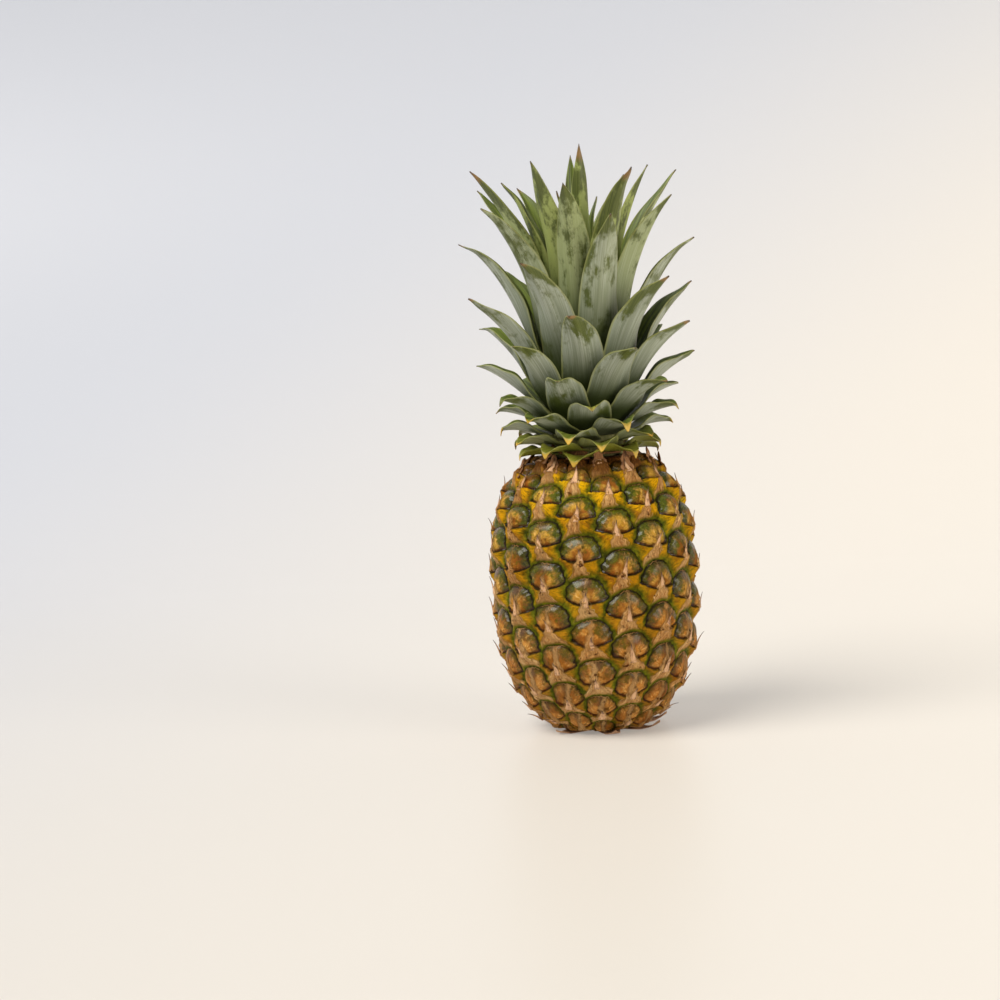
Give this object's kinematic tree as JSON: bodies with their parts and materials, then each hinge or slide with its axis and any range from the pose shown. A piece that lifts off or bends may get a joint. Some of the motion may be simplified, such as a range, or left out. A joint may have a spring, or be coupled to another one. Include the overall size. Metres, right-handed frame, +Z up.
{
  "type": "pineapple",
  "caption": "Whole fresh pineapple standing on its cut stalk: barrel-shaped fruit of spined eyes under an upright crown of stiff channelled leaves.",
  "frame": {"origin": "middle of the cut stalk's face, on the surface the pineapple stands on", "axes": "+Z up along the fruit's axis to the crown, -Y towards the viewer"},
  "size_m": [0.1354, 0.1351, 0.3386],
  "materials": {
    "rind": "waxy fresh rind, green at the rims of the eyes and tan on their bracts",
    "dry_stalk": "dry fibrous stalk and papery bracts",
    "collar": "yellow-green waxy leaf",
    "leaf": "grey-green leaf with a waxy bloom"
  },
  "bodies": {
    "root": {"fruit": "rind", "stalk": "dry_stalk", "crown_stem": "collar", "leaf_01": "leaf", "leaf_02": "leaf", "leaf_03": "leaf", "leaf_04": "leaf", "leaf_05": "leaf", "leaf_06": "leaf", "leaf_07": "leaf", "leaf_08": "leaf", "leaf_09": "leaf", "leaf_10": "leaf", "leaf_11": "leaf", "leaf_12": "leaf", "leaf_13": "leaf", "leaf_14": "leaf", "leaf_15": "leaf", "leaf_16": "leaf", "leaf_17": "leaf", "leaf_18": "leaf", "leaf_19": "leaf", "leaf_20": "leaf", "leaf_21": "leaf", "leaf_22": "leaf", "leaf_23": "leaf", "leaf_24": "leaf", "leaf_25": "leaf", "leaf_26": "leaf", "leaf_27": "leaf", "leaf_28": "leaf", "leaf_29": "leaf", "leaf_30": "leaf", "leaf_31": "leaf", "leaf_32": "leaf", "leaf_33": "leaf", "leaf_34": "leaf", "leaf_35": "leaf", "leaf_36": "leaf", "leaf_37": "leaf", "leaf_38": "leaf", "leaf_39": "leaf", "leaf_40": "leaf", "leaf_41": "leaf", "leaf_42": "leaf", "leaf_43": "leaf", "leaf_44": "leaf", "leaf_45": "leaf", "leaf_46": "leaf", "leaf_47": "leaf", "leaf_48": "leaf", "leaf_49": "leaf", "leaf_50": "leaf", "leaf_51": "leaf", "leaf_52": "leaf", "leaf_53": "leaf", "leaf_54": "leaf", "leaf_55": "leaf", "leaf_56": "leaf"}
  },
  "joints": []
}
